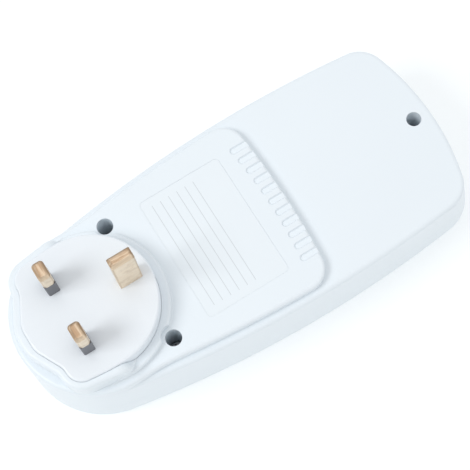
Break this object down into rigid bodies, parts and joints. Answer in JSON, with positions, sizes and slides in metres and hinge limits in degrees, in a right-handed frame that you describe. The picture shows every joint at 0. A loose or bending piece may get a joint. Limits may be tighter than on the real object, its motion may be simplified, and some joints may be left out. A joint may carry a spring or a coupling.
{
  "type": "plug-in energy meter",
  "caption": "Flat white plug-in energy meter: square-pin mains plug on the back, shuttered socket, push keys and a display on the front.",
  "frame": {"origin": "midway between the line and neutral pins, on the plane of the socket face, which the object rests on when it lies on its front", "axes": "+Z out of the back along the pins, +X towards the display end, +Y towards the line pin"},
  "size_m": [0.1625, 0.0688, 0.0697],
  "materials": {
    "case_plastic": "glossy white moulding",
    "plug_plastic": "glossy white moulding with a slight blue cast",
    "pin_brass": "pale brass, satin",
    "sleeve_plastic": "dark grey nylon",
    "screw_steel": "zinc plated",
    "label_film": "white film, bare",
    "window_clear": "clear acrylic",
    "lcd_cell": "grey-green liquid crystal cell",
    "frame_plastic": "white moulding",
    "elastomer": "striped elastomer",
    "board_laminate": "green solder mask",
    "component_black": "black moulding",
    "component_metal": "bare metal can",
    "cell_sleeve": "shrunk film",
    "cable_grey": "grey ribbon",
    "capacitor_box": "yellow moulding",
    "varistor_coat": "blue epoxy coat",
    "resistor_coat": "pale blue cement",
    "shunt_alloy": "copper-nickel strip",
    "socket_plastic": "glossy white moulding",
    "shutter_plastic": "white acetal",
    "spring_steel": "spring wire",
    "contact_brass": "rolled brass",
    "lead_brown": "brown insulation",
    "lead_blue": "blue insulation",
    "key_plastic": "grey moulding",
    "reset_plastic": "dull red moulding"
  },
  "bodies": {
    "housing": {"rear_cover": "case_plastic", "front_cover": "case_plastic", "plug_base": "plug_plastic", "line_pin": "pin_brass", "neutral_pin": "pin_brass", "earth_pin": "pin_brass", "line_pin_sleeve": "sleeve_plastic", "neutral_pin_sleeve": "sleeve_plastic", "case_screws": "screw_steel", "rating_label": "label_film", "display_window": "window_clear", "lcd_glass": "lcd_cell", "lcd_holder": "frame_plastic", "zebra_strips": "elastomer", "display_board": "board_laminate", "display_board_screws": "screw_steel", "switch_bodies": "component_black", "controller_chip": "component_black", "crystal": "component_metal", "backup_cell": "cell_sleeve", "cell_tags": "component_metal", "display_header": "component_black", "power_header": "component_black", "ribbon_cable": "cable_grey", "power_board": "board_laminate", "power_board_screws": "screw_steel", "dropper_capacitor": "capacitor_box", "reservoir_capacitor": "component_metal", "varistor": "varistor_coat", "surge_resistor": "resistor_coat", "rectifier_diodes": "component_black", "metering_chip": "component_black", "current_shunt": "shunt_alloy", "socket_face": "socket_plastic", "shutter_spring": "spring_steel", "contact_carrier": "frame_plastic", "line_contact": "contact_brass", "neutral_contact": "contact_brass", "earth_contact": "contact_brass", "line_lead": "lead_brown", "neutral_lead": "lead_blue"},
    "mode_key": {"mode_button": "key_plastic", "mode_plunger": "component_black"},
    "up_key": {"up_button": "key_plastic", "up_plunger": "component_black"},
    "down_key": {"down_button": "key_plastic", "down_plunger": "component_black"},
    "set_key": {"set_button": "key_plastic", "set_plunger": "component_black"},
    "reset_key": {"reset_button": "reset_plastic", "reset_plunger": "component_black"},
    "shutter": {"socket_shutter": "shutter_plastic"}
  },
  "joints": [
    {"name": "mode_press", "type": "slide", "parent": "housing", "child": "mode_key", "axis": [0, 0, 1], "range_m": [0, 0.0005], "stiffness_N_per_m": 1500, "springref_m": -0.0003},
    {"name": "up_press", "type": "slide", "parent": "housing", "child": "up_key", "axis": [0, 0, 1], "range_m": [0, 0.0005], "stiffness_N_per_m": 1500, "springref_m": -0.0003},
    {"name": "down_press", "type": "slide", "parent": "housing", "child": "down_key", "axis": [0, 0, 1], "range_m": [0, 0.0005], "stiffness_N_per_m": 1500, "springref_m": -0.0003},
    {"name": "set_press", "type": "slide", "parent": "housing", "child": "set_key", "axis": [0, 0, 1], "range_m": [0, 0.0005], "stiffness_N_per_m": 1500, "springref_m": -0.0003},
    {"name": "reset_press", "type": "slide", "parent": "housing", "child": "reset_key", "axis": [0, 0, 1], "range_m": [0, 0.0005], "stiffness_N_per_m": 1500, "springref_m": -0.0003},
    {"name": "shutter_slide", "type": "slide", "parent": "housing", "child": "shutter", "axis": [-1, 0, 0], "range_m": [0, 0.0058], "stiffness_N_per_m": 150, "springref_m": -0.003, "deforming": ["shutter_spring"]}
  ]
}
